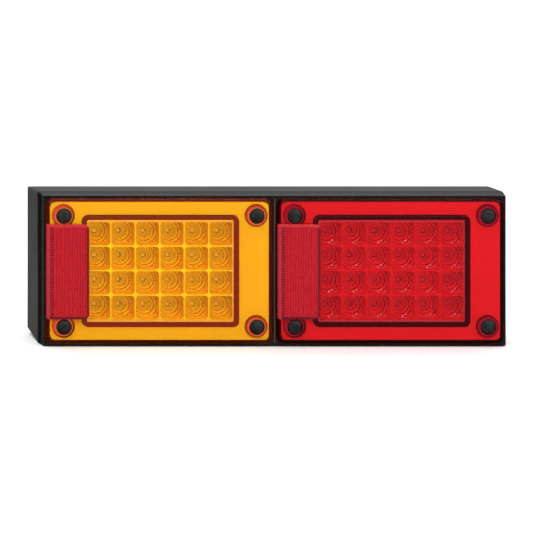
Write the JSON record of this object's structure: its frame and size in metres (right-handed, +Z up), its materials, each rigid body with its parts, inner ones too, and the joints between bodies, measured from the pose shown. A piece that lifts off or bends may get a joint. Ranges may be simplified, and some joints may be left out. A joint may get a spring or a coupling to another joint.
{
  "type": "trailer tail light",
  "caption": "Twin LED rear lamp in one black housing: amber module and red module, each with a window of LED cells, a reflex reflector and plugged lens screws.",
  "frame": {"origin": "centre of the rear mounting plane, the back face of the foam pad", "axes": "+X across the lamp from the amber module to the red one, +Y rearwards out of the mounting face (the lit face looks to -Y), +Z up"},
  "size_m": [0.304, 0.0832, 0.0992],
  "materials": {
    "housing_black": "fine moulded grain, satin",
    "bezel_black": "smooth, semi-gloss",
    "amber_lens": "polished transparent amber",
    "red_lens": "polished transparent red",
    "reflex_red": "polished transparent red over prisms",
    "prism_clear": "bright prismatic",
    "backing_white": "white, satin",
    "tray_white": "bright metallised plastic",
    "led_epoxy": "clear moulded dome",
    "board_laminate": "solder mask",
    "component_black": "moulded component bodies",
    "connector_nylon": "natural nylon",
    "stainless_steel": "turned stainless",
    "zinc_steel": "bright zinc",
    "foam_rubber": "closed-cell sponge",
    "seal_rubber": "moulded seal",
    "plug_rubber": "lightly textured",
    "cable_sheath": "PVC sheath",
    "core_insulation": "coloured core insulation"
  },
  "bodies": {
    "housing": {"base_housing": "housing_black", "front_bezel": "bezel_black", "rear_studs": "zinc_steel", "mounting_pad": "foam_rubber", "cable_grommet": "plug_rubber", "supply_cable": "cable_sheath", "cable_cores": "core_insulation", "amber_lens_gasket": "seal_rubber", "amber_reflector_tray": "tray_white", "amber_leds": "led_epoxy", "amber_circuit_board": "board_laminate", "amber_board_screws": "stainless_steel", "amber_board_components": "component_black", "amber_connector": "connector_nylon", "amber_leads": "core_insulation", "red_lens_gasket": "seal_rubber", "red_reflector_tray": "tray_white", "red_leds": "led_epoxy", "red_circuit_board": "board_laminate", "red_board_screws": "stainless_steel", "red_board_components": "component_black", "red_connector": "connector_nylon", "red_leads": "core_insulation"},
    "amber_lens_unit": {"amber_lens": "amber_lens", "amber_reflex_reflector": "reflex_red", "amber_prism_plate": "prism_clear", "amber_lens_backing": "backing_white", "amber_lens_screws": "stainless_steel"},
    "amber_plug_upper_left": {"amber_plug_upper_left": "plug_rubber"},
    "amber_plug_upper_right": {"amber_plug_upper_right": "plug_rubber"},
    "amber_plug_lower_left": {"amber_plug_lower_left": "plug_rubber"},
    "amber_plug_lower_right": {"amber_plug_lower_right": "plug_rubber"},
    "red_lens_unit": {"red_lens": "red_lens", "red_reflex_reflector": "reflex_red", "red_prism_plate": "prism_clear", "red_lens_backing": "backing_white", "red_lens_screws": "stainless_steel"},
    "red_plug_upper_left": {"red_plug_upper_left": "plug_rubber"},
    "red_plug_upper_right": {"red_plug_upper_right": "plug_rubber"},
    "red_plug_lower_left": {"red_plug_lower_left": "plug_rubber"},
    "red_plug_lower_right": {"red_plug_lower_right": "plug_rubber"}
  },
  "joints": [
    {"name": "amber_lens_lift", "type": "slide", "parent": "housing", "child": "amber_lens_unit", "axis": [0, -1, 0], "range_m": [0, 0.04]},
    {"name": "amber_plug_upper_left_pull", "type": "slide", "parent": "amber_lens_unit", "child": "amber_plug_upper_left", "axis": [0, -1, 0], "range_m": [0, 0.012]},
    {"name": "amber_plug_upper_right_pull", "type": "slide", "parent": "amber_lens_unit", "child": "amber_plug_upper_right", "axis": [0, -1, 0], "range_m": [0, 0.012]},
    {"name": "amber_plug_lower_left_pull", "type": "slide", "parent": "amber_lens_unit", "child": "amber_plug_lower_left", "axis": [0, -1, 0], "range_m": [0, 0.012]},
    {"name": "amber_plug_lower_right_pull", "type": "slide", "parent": "amber_lens_unit", "child": "amber_plug_lower_right", "axis": [0, -1, 0], "range_m": [0, 0.012]},
    {"name": "red_lens_lift", "type": "slide", "parent": "housing", "child": "red_lens_unit", "axis": [0, -1, 0], "range_m": [0, 0.04]},
    {"name": "red_plug_upper_left_pull", "type": "slide", "parent": "red_lens_unit", "child": "red_plug_upper_left", "axis": [0, -1, 0], "range_m": [0, 0.012]},
    {"name": "red_plug_upper_right_pull", "type": "slide", "parent": "red_lens_unit", "child": "red_plug_upper_right", "axis": [0, -1, 0], "range_m": [0, 0.012]},
    {"name": "red_plug_lower_left_pull", "type": "slide", "parent": "red_lens_unit", "child": "red_plug_lower_left", "axis": [0, -1, 0], "range_m": [0, 0.012]},
    {"name": "red_plug_lower_right_pull", "type": "slide", "parent": "red_lens_unit", "child": "red_plug_lower_right", "axis": [0, -1, 0], "range_m": [0, 0.012]}
  ]
}
